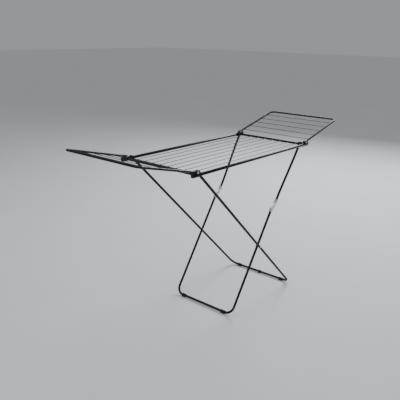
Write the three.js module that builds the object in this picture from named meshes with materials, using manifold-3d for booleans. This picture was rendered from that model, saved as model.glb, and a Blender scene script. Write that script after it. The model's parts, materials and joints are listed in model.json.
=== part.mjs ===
import * as THREE from 'three';
import { mergeVertices } from 'three/addons/utils/BufferGeometryUtils.js';
import Module from 'manifold-3d';

// A folding clothes airer: a long deck of wires on two rails, a hinged wing at each end, and a
// pair of crossed leg frames. The inner leg frame breaks at a knee so that everything folds flat
// under the deck. Millimetres, +X along the deck to the right, +Y to the far side, +Z up. The
// origin is on the floor under the middle of the deck. Near is the -Y side, far is +Y.

// Deck
const DECK_Z = 1026;
const CROSSBAR_X = 558;
const CROSSBAR_RADIUS = 8;
const CROSSBAR_HALF_LENGTH = 267;
const RAIL_Y = 277.5;
const RAIL_RADIUS = 9;
const RAIL_HALF_LENGTH = 594;
const WIRE_RADIUS = 1.75;
const DECK_WIRES = 8;

// Wings
const WING_PIVOT_X = 562;
const WING_PIVOT_Z = 1042.2;
const WING_TILT = THREE.MathUtils.degToRad(13.9);
const WING_LENGTH = 440;
const WING_RADIUS = 6.5;
const WING_BEND = 32;
const WING_WIRES = 5;
const FIRST_WING_WIRE = 54;
const WING_WIRE_PITCH = 78;
const FITTING_HEIGHT = 13.4;
const FITTING_WIDTH = 17.4;
const FITTING_REACH = 24;
const FITTING_PLUG = 20;

// Legs
const LEG_PIVOT_X = 534;
const LEG_PIVOT_Z = 1034;
const AXLE_RADIUS = 8;
const AXLE_LIP = 1.5;
const LEG_RADIUS = 8;
const LEG_BEND = 52;
const OUTER_LEG_Y = 255;
const INNER_LEG_Y = 237;
const INNER_EYE_Y = 251;
const JOGGLE_STRAIGHT = 70;
const JOGGLE_BEND = 260;
const OUTER_FOOT_X = 508;
const INNER_FOOT_X = -160;
const FOOT_BAR_Z = 11.5;
const OUTER_PAD_Y = 188;
const INNER_PAD_Y = 170;
const PAD_WIDTH = 28;
const CENTRE_PAD_WIDTH = 16;
const EYE_RADIUS = 12.5;
const EYE_WIDTH = 16;
const EYE_NECK = 18;
const EYE_PLUG = 45;
const SPACER_RADIUS = 11;

// Knee of the inner legs. The upper tubes point straight at the rivet, and the lower tubes run
// past it at the offset, so that the two lie side by side when the knee is folded.
const UPPER_LEG_SLOPE = THREE.MathUtils.degToRad(56.9);
const KNEE_FROM_TOP = 467.54;
const KNEE_OFFSET = 19;
const KNEE_GAP = 27;
const YOKE_SHEET = 1.2;
const YOKE_END = 47;
const YOKE_EYE = 8;

// Shared
const WALL = 1;
const CLEARANCE = 0.3;
const PIN_RADIUS = 3;
const RIVET_HEAD_RADIUS = 6.5;
const RIVET_HEAD_HEIGHT = 1.6;
const CHEEK = 3.9;
const LIP = 1.7;
const EAR_RADIUS = 9;
const SOCKET_RADIUS = 10.5;
const BRACKET_FACE = OUTER_LEG_Y + LEG_RADIUS + 1.3;
const TUBE_SIDES = 12;
const ROUND_SIDES = 20;
const WIRE_SIDES = 8;
const BEND_STEPS = 5;

const wasm = await Module();
wasm.setup();

const powderCoat = () => new THREE.MeshStandardMaterial({ color: 0x1a1c1e, roughness: 0.42, metalness: 0.2 });
const plastic = () => new THREE.MeshStandardMaterial({ color: 0x111213, roughness: 0.5, metalness: 0 });
const zinc = () => new THREE.MeshStandardMaterial({ color: 0xb4b9bd, roughness: 0.35, metalness: 1 });

const at = (x, y, z) => new THREE.Vector3(x, y, z);
const outerTop = at(-LEG_PIVOT_X, 0, LEG_PIVOT_Z);
const outerFoot = at(OUTER_FOOT_X, 0, FOOT_BAR_Z);
const innerTop = at(LEG_PIVOT_X, 0, LEG_PIVOT_Z);
const innerFoot = at(INNER_FOOT_X, 0, FOOT_BAR_Z);
const outerDown = outerFoot.clone().sub(outerTop).normalize();
const upperDown = at(-Math.cos(UPPER_LEG_SLOPE), 0, -Math.sin(UPPER_LEG_SLOPE));
const knee = innerTop.clone().addScaledVector(upperDown, KNEE_FROM_TOP);
const lowerUp = directionPast(innerFoot, knee, KNEE_OFFSET);
const lowerReach = knee.clone().sub(innerFoot).dot(lowerUp);
const kneeOnLower = innerFoot.clone().addScaledVector(lowerUp, lowerReach);
const crossing = meetingPoint(outerTop, outerDown, innerFoot, lowerUp);

/** The direction in the XZ plane of a line from one point that leaves another on its right. */
function directionPast(from, point, offset) {
  const toPoint = point.clone().sub(from);
  const angle = Math.atan2(toPoint.z, toPoint.x) + Math.asin(offset / toPoint.length());
  return at(Math.cos(angle), 0, Math.sin(angle));
}

/** Where two lines in the XZ plane cross. */
function meetingPoint(a, alongA, b, alongB) {
  const gap = b.clone().sub(a);
  const distance = (gap.x * alongB.z - gap.z * alongB.x) / (alongA.x * alongB.z - alongA.z * alongB.x);
  return a.clone().addScaledVector(alongA, distance);
}

/** A curve through given stations, which become the rings of a tube extruded along it. */
class StationCurve extends THREE.Curve {
  constructor(stations) {
    super();
    this.stations = stations;
  }

  index(u) {
    return Math.round(u * (this.stations.length - 1));
  }

  getPointAt(u) {
    return this.stations[this.index(u)].clone();
  }

  getTangentAt(u) {
    const i = this.index(u);
    const last = this.stations.length - 1;
    const tangent = at(0, 0, 0);
    if (i > 0) tangent.add(this.stations[i].clone().sub(this.stations[i - 1]).normalize());
    if (i < last) tangent.add(this.stations[i + 1].clone().sub(this.stations[i]).normalize());
    return tangent.normalize();
  }
}

/** The stations of a path with each inner corner rounded to a bend. */
function bentPath(corners, radius) {
  const stations = [corners[0]];
  for (let i = 1; i < corners.length - 1; i += 1) {
    const before = corners[i].clone().sub(corners[i - 1]).normalize();
    const after = corners[i + 1].clone().sub(corners[i]).normalize();
    const turn = before.angleTo(after);
    const start = corners[i].clone().addScaledVector(before, -radius * Math.tan(turn / 2));
    const inward = after.clone().addScaledVector(before, -Math.cos(turn)).normalize();
    for (let step = 0; step <= BEND_STEPS; step += 1) {
      const angle = (turn * step) / BEND_STEPS;
      stations.push(start.clone()
        .addScaledVector(before, radius * Math.sin(angle))
        .addScaledVector(inward, radius * (1 - Math.cos(angle))));
    }
  }
  stations.push(corners[corners.length - 1]);
  return stations;
}

function circle(radius, sides) {
  return Array.from({ length: sides }, (unused, i) => {
    const angle = (2 * Math.PI * (i + 0.5)) / sides;
    return new THREE.Vector2(radius * Math.cos(angle), radius * Math.sin(angle));
  });
}

/** A round bar, or a tube where an inner radius is given, with its rings at the stations. */
function bar(stations, radius, innerRadius = 0, sides = TUBE_SIDES) {
  const section = new THREE.Shape(circle(radius, sides));
  if (innerRadius > 0) section.holes.push(new THREE.Path(circle(innerRadius, sides)));
  const path = new StationCurve(stations);
  return new THREE.ExtrudeGeometry(section, { steps: stations.length - 1, extrudePath: path });
}

/** A solid of revolution about an axis parallel to Y, from [radius, y] pairs. */
function turnedAlongY(outline, sides = TUBE_SIDES) {
  return new THREE.LatheGeometry(outline.map(([radius, y]) => new THREE.Vector2(radius, y)), sides);
}

/** A disc or short cylinder with its axis along Y. */
function disc(radius, x, z, fromY, toY, sides = ROUND_SIDES) {
  const outline = [[0, fromY], [radius, fromY], [radius, toY], [0, toY]];
  return turnedAlongY(outline, sides).translate(x, 0, z);
}

/** A plate cut to an outline in the XZ plane, between two values of Y. */
function plate(outline, fromY, toY) {
  const shape = new THREE.Shape(outline.map(([x, z]) => new THREE.Vector2(x, z)));
  const blank = new THREE.ExtrudeGeometry(shape, { depth: toY - fromY, bevelEnabled: false });
  return blank.rotateX(Math.PI / 2).translate(0, toY, 0);
}

/** A plate cut to an outline in the YZ plane, between two values of X. */
function crossPlate(outline, fromX, toX) {
  return plate(outline.map(([y, z]) => [-y, z]), fromX, toX).rotateZ(-Math.PI / 2);
}

function solid(geometry) {
  const bare = geometry.clone();
  bare.deleteAttribute('normal');
  bare.deleteAttribute('uv');
  const merged = mergeVertices(bare, 1e-4);
  return new wasm.Manifold(new wasm.Mesh({
    numProp: 3,
    vertProperties: new Float32Array(merged.attributes.position.array),
    triVerts: new Uint32Array(merged.index.array),
  }));
}

function joined(...geometries) {
  return geometries.map(solid).reduce((whole, piece) => whole.add(piece));
}

function without(whole, ...cutters) {
  return cutters.map(solid).reduce((rest, cutter) => rest.subtract(cutter), whole);
}

function toGeometry(manifold) {
  const mesh = manifold.getMesh();
  const geometry = new THREE.BufferGeometry();
  geometry.setAttribute('position', new THREE.BufferAttribute(mesh.vertProperties, 3));
  geometry.setIndex(new THREE.BufferAttribute(mesh.triVerts, 1));
  return geometry;
}

/** An indexed geometry mirrored in X or Y, with its faces still pointing out. */
function mirrored(geometry, signX, signY) {
  const copy = geometry.clone().scale(signX, signY, 1);
  if (signX * signY < 0) {
    const order = copy.index.array;
    for (let i = 0; i < order.length; i += 3) {
      [order[i], order[i + 1]] = [order[i + 1], order[i]];
    }
  }
  return copy;
}

function named(name, geometry, material) {
  const mesh = new THREE.Mesh(geometry, material);
  mesh.name = name;
  return mesh;
}

const sides = [['near', -1], ['far', 1]];
const ends = [['left', -1], ['right', 1]];

/** Two long rails, two crossbars and the wires welded between the crossbars, all in one plane. */
function deckFrame() {
  const group = new THREE.Group();
  for (const [side, signY] of sides) {
    const y = signY * RAIL_Y;
    const stations = [at(-RAIL_HALF_LENGTH, y, DECK_Z), at(RAIL_HALF_LENGTH, y, DECK_Z)];
    group.add(named(`deck_rail_${side}`, bar(stations, RAIL_RADIUS, RAIL_RADIUS - WALL), powderCoat()));
  }
  for (const [end, signX] of ends) {
    const x = signX * CROSSBAR_X;
    const stations = [at(x, -CROSSBAR_HALF_LENGTH, DECK_Z), at(x, CROSSBAR_HALF_LENGTH, DECK_Z)];
    const tube = bar(stations, CROSSBAR_RADIUS, CROSSBAR_RADIUS - WALL);
    group.add(named(`deck_crossbar_${end}`, tube, powderCoat()));
  }
  const wireEnd = CROSSBAR_X - CROSSBAR_RADIUS - CLEARANCE;
  const pitch = (2 * RAIL_Y) / (DECK_WIRES + 1);
  for (let i = 1; i <= DECK_WIRES; i += 1) {
    const y = -RAIL_Y + i * pitch;
    const wire = bar([at(-wireEnd, y, DECK_Z), at(wireEnd, y, DECK_Z)], WIRE_RADIUS, 0, WIRE_SIDES);
    group.add(named(`deck_wire_${i}`, wire, powderCoat()));
  }
  return group;
}

/** The moulded corner bracket at the right far corner. It clips round the rail from the inner
 * side, takes the end of the crossbar, carries the wing pivot on an ear and closes the rail end.
 * The leg eye snaps over the lip of its stub axle, which runs in to axleTip. The wedge on top of
 * it, near the rail end, is the rest for the open wing. */
function cornerBracket(axleTip) {
  const outerFace = RAIL_Y + 3;
  const bottom = DECK_Z - RAIL_RADIUS - LIP;
  const top = DECK_Z + RAIL_RADIUS + LIP;
  const inboard = LEG_PIVOT_X - EYE_RADIUS;
  const capFrom = RAIL_HALF_LENGTH + CLEARANCE;
  const capTo = capFrom + 2.2;
  const restFrom = WING_PIVOT_X + 12;
  const restOffset = (FITTING_HEIGHT / 2 + 0.4) / Math.cos(WING_TILT);
  const restZ = (x) => WING_PIVOT_Z + (x - WING_PIVOT_X) * Math.tan(WING_TILT) - restOffset;
  const clip = [
    [inboard, bottom], [capTo, bottom], [capTo, restZ(capTo)], [restFrom, restZ(restFrom)],
    [restFrom, DECK_Z + 3], [LEG_PIVOT_X + 12, DECK_Z + 3], [LEG_PIVOT_X + 10, top], [inboard, top],
  ];
  const ear = [
    [WING_PIVOT_X - 12, bottom], [WING_PIVOT_X + 12, bottom], [WING_PIVOT_X + EAR_RADIUS, WING_PIVOT_Z],
    [WING_PIVOT_X - EAR_RADIUS, WING_PIVOT_Z],
  ];
  const cap = turnedAlongY([[0, capFrom], [RAIL_RADIUS, capFrom], [RAIL_RADIUS, capTo], [0, capTo]]);
  const body = joined(
    plate(clip, BRACKET_FACE, outerFace),
    plate(ear, BRACKET_FACE, BRACKET_FACE + CHEEK),
    disc(EAR_RADIUS, WING_PIVOT_X, WING_PIVOT_Z, BRACKET_FACE, BRACKET_FACE + CHEEK),
    disc(SOCKET_RADIUS, CROSSBAR_X, DECK_Z, BRACKET_FACE, BRACKET_FACE + CHEEK),
    disc(EYE_RADIUS, LEG_PIVOT_X, LEG_PIVOT_Z, BRACKET_FACE, BRACKET_FACE + CHEEK),
    disc(AXLE_RADIUS, LEG_PIVOT_X, LEG_PIVOT_Z, axleTip - 1, BRACKET_FACE + 1),
    disc(AXLE_RADIUS + AXLE_LIP, LEG_PIVOT_X, LEG_PIVOT_Z, axleTip - AXLE_LIP, axleTip),
    cap.rotateZ(-Math.PI / 2).translate(0, RAIL_Y, DECK_Z),
  );
  const railBore = bar([at(inboard - 1, RAIL_Y, DECK_Z), at(capFrom, RAIL_Y, DECK_Z)], RAIL_RADIUS + CLEARANCE);
  const crossbarEnd = CROSSBAR_HALF_LENGTH + CLEARANCE;
  const earHole = [BRACKET_FACE - 1, BRACKET_FACE + CHEEK + 1];
  return toGeometry(without(
    body,
    railBore,
    disc(CROSSBAR_RADIUS + CLEARANCE, CROSSBAR_X, DECK_Z, BRACKET_FACE - 1, crossbarEnd),
    disc(PIN_RADIUS + CLEARANCE, WING_PIVOT_X, WING_PIVOT_Z, ...earHole, TUBE_SIDES),
  ));
}

function cornerBrackets() {
  const group = new THREE.Group();
  for (const [end, signX] of ends) {
    const eyeY = end === 'left' ? OUTER_LEG_Y : INNER_EYE_Y;
    const bracket = cornerBracket(eyeY - EYE_WIDTH / 2 - CLEARANCE);
    for (const [side, signY] of sides) {
      group.add(named(`corner_bracket_${end}_${side}`, mirrored(bracket, signX, signY), plastic()));
    }
  }
  return group;
}

/** The plastic end of a wing bar: a rounded block on the pivot with a plug into the tube. */
function wingFitting() {
  const half = FITTING_HEIGHT / 2;
  const [from, to] = [-FITTING_WIDTH / 2, FITTING_WIDTH / 2];
  const block = [[0, -half], [FITTING_REACH, -half], [FITTING_REACH, half], [0, half]];
  const plugEnd = at(FITTING_REACH + FITTING_PLUG, 0, 0);
  const plug = bar([at(FITTING_REACH - 1, 0, 0), plugEnd], WING_RADIUS - WALL - CLEARANCE, 0, 12);
  const body = joined(plate(block, from, to), disc(half, 0, 0, from, to), plug);
  const bore = disc(PIN_RADIUS + CLEARANCE, 0, 0, from - 1, to + 1, TUBE_SIDES);
  return toGeometry(without(body, bore));
}

/** A headed pin along Y, from one head to the other. */
function headedPin(shankFrom, shankTo) {
  return turnedAlongY([
    [0, shankFrom - RIVET_HEAD_HEIGHT],
    [RIVET_HEAD_RADIUS * 0.7, shankFrom - RIVET_HEAD_HEIGHT],
    [RIVET_HEAD_RADIUS, shankFrom - 0.4],
    [RIVET_HEAD_RADIUS, shankFrom],
    [PIN_RADIUS, shankFrom],
    [PIN_RADIUS, shankTo],
    [RIVET_HEAD_RADIUS, shankTo],
    [RIVET_HEAD_RADIUS, shankTo + 0.4],
    [RIVET_HEAD_RADIUS * 0.7, shankTo + RIVET_HEAD_HEIGHT],
    [0, shankTo + RIVET_HEAD_HEIGHT],
  ]);
}

/** A wing in its own frame: the pivot line is Y, and +X runs out along the side bars. */
function wing(end) {
  const group = new THREE.Group();
  const start = FITTING_REACH + CLEARANCE;
  const corners = [
    at(start, -RAIL_Y, 0), at(WING_LENGTH, -RAIL_Y, 0), at(WING_LENGTH, RAIL_Y, 0), at(start, RAIL_Y, 0),
  ];
  const frame = bar(bentPath(corners, WING_BEND), WING_RADIUS, WING_RADIUS - WALL);
  group.add(named(`wing_${end}_frame`, frame, powderCoat()));
  const wireEnd = RAIL_Y - WING_RADIUS - CLEARANCE;
  for (let i = 0; i < WING_WIRES; i += 1) {
    const x = FIRST_WING_WIRE + i * WING_WIRE_PITCH;
    const wire = bar([at(x, -wireEnd, 0), at(x, wireEnd, 0)], WIRE_RADIUS, 0, WIRE_SIDES);
    group.add(named(`wing_${end}_wire_${i + 1}`, wire, powderCoat()));
  }
  const turned = end === 'left' ? -1 : 1;
  const fitting = wingFitting();
  const pinIn = RAIL_Y - BRACKET_FACE + CLEARANCE;
  const pinOut = FITTING_WIDTH / 2 + CLEARANCE;
  for (const [side, signY] of sides) {
    const y = turned * signY * RAIL_Y;
    const block = named(`wing_${end}_fitting_${side}`, fitting, plastic());
    block.position.y = y;
    const shank = y > 0 ? headedPin(-pinIn, pinOut) : headedPin(-pinOut, pinIn);
    const pin = named(`wing_${end}_pivot_pin_${side}`, shank, zinc());
    pin.position.y = y;
    group.add(block, pin);
  }
  group.rotation.y = -WING_TILT;
  group.position.set(WING_PIVOT_X, 0, WING_PIVOT_Z);
  const placed = new THREE.Group();
  placed.add(group);
  if (end === 'left') placed.rotation.z = Math.PI;
  return placed;
}

/** A U of leg tube: down one side, round the foot bar and up the other. */
function legLoop(top, foot, y) {
  const corners = [
    at(top.x, -y, top.z), at(foot.x, -y, foot.z), at(foot.x, y, foot.z), at(top.x, y, top.z),
  ];
  return bar(bentPath(corners, LEG_BEND), LEG_RADIUS, LEG_RADIUS - WALL);
}

/** A geometry with a rivet hole along Y through both of its leg tubes at the crossing. */
function drilledAtCrossing(geometry, y) {
  const radius = PIN_RADIUS + CLEARANCE;
  const reach = LEG_RADIUS + 2;
  const holes = [-y, y].map((centre) => (
    disc(radius, crossing.x, crossing.z, centre - reach, centre + reach, TUBE_SIDES)));
  return toGeometry(without(solid(geometry), ...holes));
}

/** The moulded eye at the top of a leg: a ring on the stub axle and a plug into the tube. */
function legEye(centre, down, y, spacerTo) {
  const [from, to] = [y - EYE_WIDTH / 2, y + EYE_WIDTH / 2];
  const along = (distance) => at(centre.x, y, centre.z).addScaledVector(down, distance);
  const pieces = [
    disc(EYE_RADIUS, centre.x, centre.z, from, to),
    bar([along(5), along(EYE_NECK)], LEG_RADIUS),
    bar([along(EYE_NECK - 1), along(EYE_PLUG)], LEG_RADIUS - WALL - CLEARANCE, 0, 12),
  ];
  if (spacerTo > to) pieces.push(disc(SPACER_RADIUS, centre.x, centre.z, to - 1, spacerTo));
  const boreTo = Math.max(to, spacerTo) + 1;
  const bore = disc(AXLE_RADIUS + CLEARANCE, centre.x, centre.z, from - 1, boreTo);
  return toGeometry(without(joined(...pieces), bore));
}

/** A clip-on pad round the foot bar, with a flat sole on the floor. */
function footPad(x, y, width) {
  const collar = disc(FOOT_BAR_Z, x, FOOT_BAR_Z, y - width / 2, y + width / 2);
  const sole = [[x - 9, 0], [x + 9, 0], [x + 10.5, FOOT_BAR_Z], [x - 10.5, FOOT_BAR_Z]];
  const body = joined(collar, plate(sole, y - width / 2, y + width / 2));
  const bore = disc(LEG_RADIUS + CLEARANCE, x, FOOT_BAR_Z, y - width, y + width);
  return toGeometry(without(body, bore));
}

/** Half of a crossing rivet: a domed head at headY and a shank that runs to tipY. */
function crossingRivet(headY, tipY) {
  const out = Math.sign(headY - tipY);
  const outline = [
    [0, tipY], [PIN_RADIUS, tipY], [PIN_RADIUS, headY], [RIVET_HEAD_RADIUS, headY],
    [RIVET_HEAD_RADIUS, headY + out * 0.5], [RIVET_HEAD_RADIUS * 0.7, headY + out * 1.6],
    [0, headY + out * 1.9],
  ];
  if (out < 0) outline.reverse();
  return turnedAlongY(outline).translate(crossing.x, 0, crossing.z);
}

function outerLeg() {
  const group = new THREE.Group();
  const top = outerTop.clone().addScaledVector(outerDown, EYE_NECK + CLEARANCE);
  const loop = drilledAtCrossing(legLoop(top, outerFoot, OUTER_LEG_Y), OUTER_LEG_Y);
  group.add(named('outer_leg_frame', loop, powderCoat()));
  const outerFace = OUTER_LEG_Y + LEG_RADIUS;
  const tip = (OUTER_LEG_Y + INNER_LEG_Y) / 2 + 0.15;
  const eye = legEye(outerTop, outerDown, OUTER_LEG_Y, 0);
  const rivet = toGeometry(solid(crossingRivet(outerFace + CLEARANCE, tip)));
  for (const [side, signY] of sides) {
    group.add(named(`outer_leg_eye_${side}`, mirrored(eye, 1, signY), plastic()));
    group.add(named(`crossing_rivet_outer_${side}`, mirrored(rivet, 1, signY), zinc()));
    group.add(named(`outer_leg_foot_${side}`, footPad(OUTER_FOOT_X, signY * OUTER_PAD_Y, PAD_WIDTH), plastic()));
  }
  group.add(named('outer_leg_foot_centre', footPad(OUTER_FOOT_X, 0, CENTRE_PAD_WIDTH), plastic()));
  return group;
}

/** The outline of a yoke seen from the side: a strap from the tube to its rivet eye. */
function yokeOutline(offset) {
  const back = -(LEG_RADIUS + YOKE_SHEET + 0.25);
  const points = [[back, YOKE_END], [back, KNEE_GAP - 4], [offset - YOKE_EYE, 0]];
  for (let i = 1; i < 8; i += 1) {
    const angle = Math.PI * (1 + i / 8);
    points.push([offset + YOKE_EYE * Math.cos(angle), YOKE_EYE * Math.sin(angle)]);
  }
  points.push([offset + YOKE_EYE, 0], [7, KNEE_GAP - 6], [7, YOKE_END]);
  return points;
}

/** A sheet-metal yoke on the end of a knee tube, in its own frame: +Z runs along the tube away
 * from the rivet, and the rivet is the offset away from the tube line towards +X. Its two straps
 * run from the sides of the tube to a narrow waist, with their inner faces waistY from the middle.
 */
function yoke(offset, waistY, flareFrom, flareTo) {
  const inner = LEG_RADIUS + 0.25;
  const outer = inner + YOKE_SHEET;
  const low = -YOKE_EYE - 1;
  const strap = [
    [waistY + YOKE_SHEET, low], [waistY + YOKE_SHEET, flareFrom], [outer, flareTo], [outer, YOKE_END],
    [inner, YOKE_END], [inner, flareTo], [waistY, flareFrom], [waistY, low],
  ];
  const otherStrap = strap.map(([y, z]) => [-y, z]);
  const straps = joined(crossPlate(strap, -30, 40), crossPlate(otherStrap, -30, 40));
  const outline = solid(plate(yokeOutline(offset), -outer - 1, outer + 1));
  const web = crossPlate([
    [-outer, KNEE_GAP - 4], [outer, KNEE_GAP - 4], [outer, YOKE_END], [-outer, YOKE_END],
  ], -outer, -inner);
  const body = straps.intersect(outline).add(solid(web));
  const bore = disc(PIN_RADIUS + CLEARANCE, offset, 0, -outer, outer, TUBE_SIDES);
  return toGeometry(without(body, bore));
}

/** Puts a yoke on its tube: at a point of the tube line, with its own Z along the direction. */
function onTube(mesh, point, y, up, downwards) {
  if (downwards) mesh.rotation.x = Math.PI;
  const placed = new THREE.Group();
  placed.add(mesh);
  placed.rotation.y = Math.atan2(up.x, up.z);
  placed.position.set(point.x, y, point.z);
  return placed;
}

function innerLegUpper() {
  const group = new THREE.Group();
  const upperUp = upperDown.clone().negate();
  const spacerTo = OUTER_LEG_Y + LEG_RADIUS + 0.9;
  const eye = legEye(innerTop, upperDown, INNER_EYE_Y, spacerTo);
  const start = EYE_NECK + CLEARANCE;
  const end = KNEE_FROM_TOP - KNEE_GAP;
  const joggle = [
    [start, INNER_EYE_Y], [start + JOGGLE_STRAIGHT, INNER_EYE_Y],
    [end - JOGGLE_STRAIGHT, INNER_LEG_Y], [end, INNER_LEG_Y],
  ];
  for (const [side, signY] of sides) {
    const y = signY * INNER_LEG_Y;
    const corners = joggle.map(([down, aside]) => (
      innerTop.clone().addScaledVector(upperDown, down).setY(signY * aside)));
    const tube = bar(bentPath(corners, JOGGLE_BEND), LEG_RADIUS, LEG_RADIUS - WALL);
    const strap = named(`knee_upper_yoke_${side}`, yoke(0, -0.01, 9, 23), zinc());
    group.add(named(`inner_leg_upper_tube_${side}`, tube, powderCoat()));
    group.add(named(`inner_leg_upper_eye_${side}`, mirrored(eye, 1, signY), plastic()));
    group.add(onTube(strap, knee, y, upperUp, false));
  }
  return group;
}

function kneeRivet() {
  const shank = 2 * YOKE_SHEET + 0.7;
  return headedPin(-shank, shank).scale(0.9, 1, 0.9).translate(knee.x, 0, knee.z);
}

function innerLegLower() {
  const group = new THREE.Group();
  const top = kneeOnLower.clone().addScaledVector(lowerUp, -KNEE_GAP);
  const loop = drilledAtCrossing(legLoop(top, innerFoot, INNER_LEG_Y), INNER_LEG_Y);
  group.add(named('inner_leg_lower_frame', loop, powderCoat()));
  const innerFace = INNER_LEG_Y - LEG_RADIUS;
  const tip = (OUTER_LEG_Y + INNER_LEG_Y) / 2 - 0.15;
  const rivet = toGeometry(solid(crossingRivet(innerFace - CLEARANCE, tip)));
  for (const [side, signY] of sides) {
    const y = signY * INNER_LEG_Y;
    const strap = named(`knee_lower_yoke_${side}`, yoke(KNEE_OFFSET, 1.6, 7, 17), zinc());
    const pin = named(`knee_rivet_${side}`, kneeRivet(), zinc());
    pin.position.y = y;
    group.add(onTube(strap, kneeOnLower, y, lowerUp, true), pin);
    group.add(named(`crossing_rivet_inner_${side}`, mirrored(rivet, 1, signY), zinc()));
    group.add(named(`inner_leg_foot_${side}`, footPad(INNER_FOOT_X, signY * INNER_PAD_Y, PAD_WIDTH), plastic()));
  }
  return group;
}

const airer = new THREE.Group();
airer.add(
  deckFrame(), cornerBrackets(), wing('left'), wing('right'),
  outerLeg(), innerLegUpper(), innerLegLower(),
);

export default airer;
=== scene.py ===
import json
import math

import bmesh
import bpy
from mathutils import Matrix, Vector


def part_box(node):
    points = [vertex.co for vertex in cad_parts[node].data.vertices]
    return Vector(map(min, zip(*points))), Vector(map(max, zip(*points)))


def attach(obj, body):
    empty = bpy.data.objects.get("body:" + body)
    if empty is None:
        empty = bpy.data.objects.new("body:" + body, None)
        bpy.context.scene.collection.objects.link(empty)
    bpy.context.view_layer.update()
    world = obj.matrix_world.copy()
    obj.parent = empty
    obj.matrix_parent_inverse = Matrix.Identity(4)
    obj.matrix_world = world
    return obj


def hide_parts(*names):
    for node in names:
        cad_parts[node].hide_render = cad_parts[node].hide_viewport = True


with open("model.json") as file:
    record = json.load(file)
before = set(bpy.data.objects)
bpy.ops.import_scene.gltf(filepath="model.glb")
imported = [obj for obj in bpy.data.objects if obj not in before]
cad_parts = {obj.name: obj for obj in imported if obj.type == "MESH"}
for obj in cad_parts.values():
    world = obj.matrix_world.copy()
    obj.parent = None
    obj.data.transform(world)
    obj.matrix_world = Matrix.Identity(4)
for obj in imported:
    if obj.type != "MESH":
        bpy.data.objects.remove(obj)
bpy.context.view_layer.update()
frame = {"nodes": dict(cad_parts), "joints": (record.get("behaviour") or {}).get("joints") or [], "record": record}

# The looks of a folding clothes airer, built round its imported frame. Metres, +X along the deck,
# +Y to the far side, +Z up. Each fine piece stands for one node of the frame and rides on the
# same body. Places come from the frame's boxes and joints; the sections below match its solids.

X, Y, Z = Vector((1, 0, 0)), Vector((0, 1, 0)), Vector((0, 0, 1))

# Sections of the bars
RAIL_RADIUS = 0.009
CROSSBAR_RADIUS = 0.008
LEG_RADIUS = 0.008
WING_RADIUS = 0.0065
WIRE_RADIUS = 0.00175
TUBE_WALL = 0.001
LEG_BEND = 0.052
WING_BEND = 0.032
LIP = 0.0004
BORE_DEPTH = 0.03
LEG_CRIMP = 0.013
WING_CRIMP = 0.008
WELD_REACH = 0.0009
WELD_LENGTH = 0.0045
WELD_SWELL = 0.0011

# Moulded and turned pieces
OVERRUN = 0.001
GAP = 0.0003
FIT = 0.00015
PIN_RADIUS = 0.003
HEAD_RADIUS = 0.0065
HEAD_HEIGHT = 0.0016
CROSSING_HEAD_HEIGHT = 0.0019
BRACKET_GAP = 0.0013
BRACKET_POCKET = 0.0009
CHEEK = 0.0039
SOCKET_RADIUS = 0.0105
AXLE_RADIUS = 0.008
AXLE_LIP = 0.0015
EAR_RADIUS = 0.009
CLIP_LIP = 0.0017
CLIP_REACH = 0.003
CAP_THICKNESS = 0.0022
REST_GAP = 0.0004
EYE_RADIUS = 0.0125
EYE_WIDTH = 0.016
EYE_NECK = 0.018
EYE_PLUG = 0.045
EYE_PLUG_RADIUS = 0.0067
SPACER_RADIUS = 0.011
JOGGLE_STRAIGHT = 0.07
JOGGLE_BEND = 0.26
FITTING_HALF_HEIGHT = 0.0067
FITTING_HALF_WIDTH = 0.0087
FITTING_REACH = 0.024
FITTING_PLUG = 0.02
FITTING_PLUG_RADIUS = 0.0053
FITTING_POCKET = 0.0012

# Grooves in the soles
GROOVE_HALF_WIDTH = 0.0008
GROOVE_DEPTH = 0.0008
GROOVE_PITCH = 0.0045

# Knee yokes of bent sheet
KNEE_GAP = 0.027
KNEE_OFFSET = 0.019
YOKE_SHEET = 0.0012
YOKE_END = 0.047
YOKE_EYE = 0.008
YOKE_INNER = LEG_RADIUS + 0.00025
YOKE_CORNER = 0.004

# Fineness
TUBE_SIDES = 40
WIRE_SIDES = 16
ROUND_SIDES = 56
BEND_STEPS = 20
ARC_STEPS = 8
EDGE_STEPS = 3
BUMP_STEPS = 6
SMOOTH_ANGLE = math.radians(38)

SIDES = (("near", -1), ("far", 1))
ENDS = (("left", -1), ("right", 1))


# --- Places read from the frame ---------------------------------------------------------------

def pivot(joint):
    """Where a joint's axis crosses the middle plane of the airer."""
    return Vector(next(j["pos_m"] for j in frame["joints"] if j["name"] == joint))


def middle(node):
    low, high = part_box(node)
    return (low + high) / 2


def body_of(node):
    bodies = frame["record"]["behaviour"]["bodies"]
    return next(body for body, nodes in bodies.items() if node in nodes)


def slot_of(node):
    subparts = frame["record"]["subparts"]
    return next(part["material_slot"] for part in subparts if part["node"] == node)


# --- Mesh building ----------------------------------------------------------------------------

def blank(points, faces):
    """A loose mesh object with its faces turned outwards."""
    mesh = bpy.data.meshes.new("blank")
    mesh.from_pydata([tuple(p) for p in points], [], faces)
    work = bmesh.new()
    work.from_mesh(mesh)
    bmesh.ops.recalc_face_normals(work, faces=work.faces)
    work.to_mesh(mesh)
    work.free()
    piece = bpy.data.objects.new("blank", mesh)
    bpy.context.scene.collection.objects.link(piece)
    return piece


def skin(rings):
    """A closed mesh over rings of equally many points, capped at both ends."""
    count = len(rings[0])
    points = [point for ring in rings for point in ring]
    faces = []
    for i in range(len(rings) - 1):
        for k in range(count):
            a = i * count + k
            b = i * count + (k + 1) % count
            faces.append((a, b, b + count, a + count))
    faces.append(tuple(reversed(range(count))))
    faces.append(tuple(range(len(points) - count, len(points))))
    return blank(points, faces)


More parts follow.
